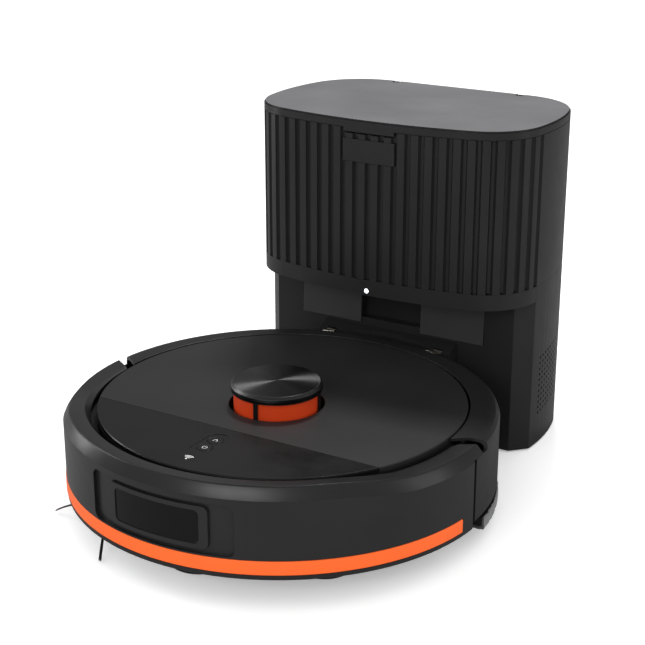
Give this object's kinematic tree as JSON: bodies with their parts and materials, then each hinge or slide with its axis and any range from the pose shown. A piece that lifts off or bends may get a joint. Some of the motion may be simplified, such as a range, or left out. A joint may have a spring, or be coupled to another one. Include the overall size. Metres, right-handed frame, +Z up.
{
  "type": "robot vacuum with self-emptying station",
  "caption": "Round robot vacuum with lidar turret, bumper and mop pad, docked in its tall fluted self-emptying station with a hinged lid.",
  "frame": {"origin": "on the floor under the robot's axis, centre of the foot pad in the base plate", "axes": "+Z up; the robot faces -Y, so its left side is +X; the station stands behind it towards +Y"},
  "size_m": [0.3484, 0.481, 0.291],
  "materials": {
    "dark_shell": "fine grain, satin",
    "inner_black": "plain moulded",
    "piano_black": "polished",
    "cover_matte": "fine grain, matte",
    "turret_cap": "spun, dark",
    "orange": "satin orange",
    "bumper": "fine grain, satin",
    "ir_window": "dark infrared window",
    "metal": "zinc plated",
    "contact_metal": "nickel-brass",
    "rim_plastic": "plain moulded",
    "tyre": "treaded rubber",
    "white_plastic": "plain moulded",
    "brush_rubber": "smooth rubber",
    "bristles": "nylon bundles",
    "battery_wrap": "shrink wrap",
    "board": "solder mask",
    "fan_grey": "plain moulded",
    "bin_smoke": "smoked",
    "filter_paper": "pleated",
    "mop_fabric": "microfibre",
    "bag_fleece": "non-woven",
    "dock_shell": "satin",
    "dock_grey": "satin",
    "lid_grey": "satin",
    "led": "diffuse lens",
    "soft_black": "soft rubber"
  },
  "bodies": {
    "station": {"base_plate": "dock_shell", "dock_feet": "soft_black", "lower_shell": "dock_shell", "face_panels": "dock_grey", "upper_shell": "dock_shell", "handle_bar": "dock_shell", "status_led": "led", "port_seal": "soft_black", "dust_duct": "fan_grey", "dust_bag": "bag_fleece", "dock_fan": "fan_grey", "lid_pin": "metal", "power_inlet": "inner_black"},
    "station_fan_wheel": {"dock_impeller": "white_plastic"},
    "station_lid": {"dock_lid": "lid_grey"},
    "station_contact_left": {"dock_contact_left": "contact_metal"},
    "station_contact_right": {"dock_contact_right": "contact_metal"},
    "robot": {"chassis": "inner_black", "rear_shell": "dark_shell", "deck": "inner_black", "front_deck": "piano_black", "lidar_cage": "piano_black", "lidar_cap": "turret_cap", "lidar_motor": "metal", "lidar_belt": "soft_black", "bumper_springs": "metal", "arm_springs": "metal", "brush_guard": "dark_shell", "brush_motor": "metal", "side_brush_motor": "fan_grey", "battery": "battery_wrap", "main_board": "board", "suction_fan": "fan_grey", "mop_bracket": "inner_black", "mop_pad": "mop_fabric", "water_tank": "bin_smoke", "cliff_sensors": "ir_window", "charge_contacts": "contact_metal", "chassis_screws": "metal"},
    "bumper": {"bumper_shell": "bumper", "accent_strip": "orange", "sensor_window": "ir_window"},
    "cover": {"top_cover": "cover_matte"},
    "bin": {"dust_bin": "bin_smoke", "bin_filter": "filter_paper"},
    "turret_drum": {"lidar_drum": "orange"},
    "turret_pulley": {"lidar_pulley": "white_plastic"},
    "arm_left": {"wheel_arm_left": "rim_plastic"},
    "arm_right": {"wheel_arm_right": "rim_plastic"},
    "wheel_left": {"wheel_rim_left": "rim_plastic", "wheel_tyre_left": "tyre"},
    "wheel_right": {"wheel_rim_right": "rim_plastic", "wheel_tyre_right": "tyre"},
    "caster_swivel": {"caster_fork": "rim_plastic"},
    "caster_roller": {"caster_wheel": "white_plastic"},
    "brush_roller": {"main_brush": "brush_rubber"},
    "sweeper": {"side_brush": "bristles"},
    "robot_fan_wheel": {"fan_impeller": "white_plastic"},
    "power_key": {"power_button": "piano_black"},
    "home_key": {"home_button": "piano_black"}
  },
  "joints": [
    {"name": "undock", "type": "slide", "parent": "station", "child": "robot", "axis": [0, -1, 0], "range_m": [0, 0.09]},
    {"name": "bumper_press", "type": "slide", "parent": "robot", "child": "bumper", "axis": [0, 1, 0], "range_m": [0, 0.004], "stiffness_N_per_m": 600, "springref_m": -0.002},
    {"name": "cover_lift", "type": "slide", "parent": "robot", "child": "cover", "axis": [0, 0, 1], "range_m": [0, 0.03]},
    {"name": "bin_lift", "type": "slide", "parent": "robot", "child": "bin", "axis": [0, 0, 1], "range_m": [0, 0.015]},
    {"name": "turret_spin", "type": "hinge", "parent": "robot", "child": "turret_drum", "pos_m": [0, -0.0094, 0.09], "axis": [0, 0, 1], "continuous": true},
    {"name": "turret_motor_spin", "type": "hinge", "parent": "robot", "child": "turret_pulley", "pos_m": [0.056, -0.0094, 0.083], "axis": [0, 0, 1], "continuous": true},
    {"name": "arm_left_swing", "type": "hinge", "parent": "robot", "child": "arm_left", "pos_m": [0.1, -0.04, 0.048], "axis": [1, 0, 0], "range_deg": [-12, 16], "stiffness_Nm_per_rad": 0.5, "springref_deg": -14.32},
    {"name": "arm_right_swing", "type": "hinge", "parent": "robot", "child": "arm_right", "pos_m": [-0.1, -0.04, 0.048], "axis": [1, 0, 0], "range_deg": [-12, 16], "stiffness_Nm_per_rad": 0.5, "springref_deg": -14.32},
    {"name": "wheel_left_spin", "type": "hinge", "parent": "arm_left", "child": "wheel_left", "pos_m": [0.1205, 0, 0.0312], "axis": [1, 0, 0], "continuous": true},
    {"name": "wheel_right_spin", "type": "hinge", "parent": "arm_right", "child": "wheel_right", "pos_m": [-0.1205, 0, 0.0312], "axis": [1, 0, 0], "continuous": true},
    {"name": "caster_turn", "type": "hinge", "parent": "robot", "child": "caster_swivel", "pos_m": [0, -0.118, 0.04], "axis": [0, 0, 1], "continuous": true},
    {"name": "caster_roll", "type": "hinge", "parent": "caster_swivel", "child": "caster_roller", "pos_m": [0, -0.125, 0.0233], "axis": [1, 0, 0], "continuous": true},
    {"name": "main_brush_spin", "type": "hinge", "parent": "robot", "child": "brush_roller", "pos_m": [0, -0.02, 0.03], "axis": [1, 0, 0], "continuous": true},
    {"name": "side_brush_spin", "type": "hinge", "parent": "robot", "child": "sweeper", "pos_m": [-0.09, -0.114, 0.02], "axis": [0, 0, 1], "continuous": true},
    {"name": "suction_fan_spin", "type": "hinge", "parent": "robot", "child": "robot_fan_wheel", "pos_m": [0.104, 0.08, 0.05], "axis": [0, 0, 1], "continuous": true},
    {"name": "power_press", "type": "slide", "parent": "robot", "child": "power_key", "axis": [0, 0, -1], "range_m": [0, 0.0006], "stiffness_N_per_m": 900, "springref_m": -0.0004},
    {"name": "home_press", "type": "slide", "parent": "robot", "child": "home_key", "axis": [0, 0, -1], "range_m": [0, 0.0006], "stiffness_N_per_m": 900, "springref_m": -0.0004},
    {"name": "station_fan_spin", "type": "hinge", "parent": "station", "child": "station_fan_wheel", "pos_m": [0, 0.268, 0.045], "axis": [0, 0, 1], "continuous": true},
    {"name": "lid_open", "type": "hinge", "parent": "station", "child": "station_lid", "pos_m": [0, 0.3023, 0.2875], "axis": [-1, 0, 0], "range_deg": [0, 75]},
    {"name": "contact_left_press", "type": "slide", "parent": "station", "child": "station_contact_left", "axis": [0, 1, 0], "range_m": [0, 0.002], "stiffness_N_per_m": 300, "springref_m": -0.001},
    {"name": "contact_right_press", "type": "slide", "parent": "station", "child": "station_contact_right", "axis": [0, 1, 0], "range_m": [0, 0.002], "stiffness_N_per_m": 300, "springref_m": -0.001}
  ],
  "couplings": [
    {"joint": "turret_motor_spin", "follows": "turret_spin", "ratio": 7},
    {"joint": "bin_lift", "follows": "cover_lift", "ratio": 0.5}
  ]
}
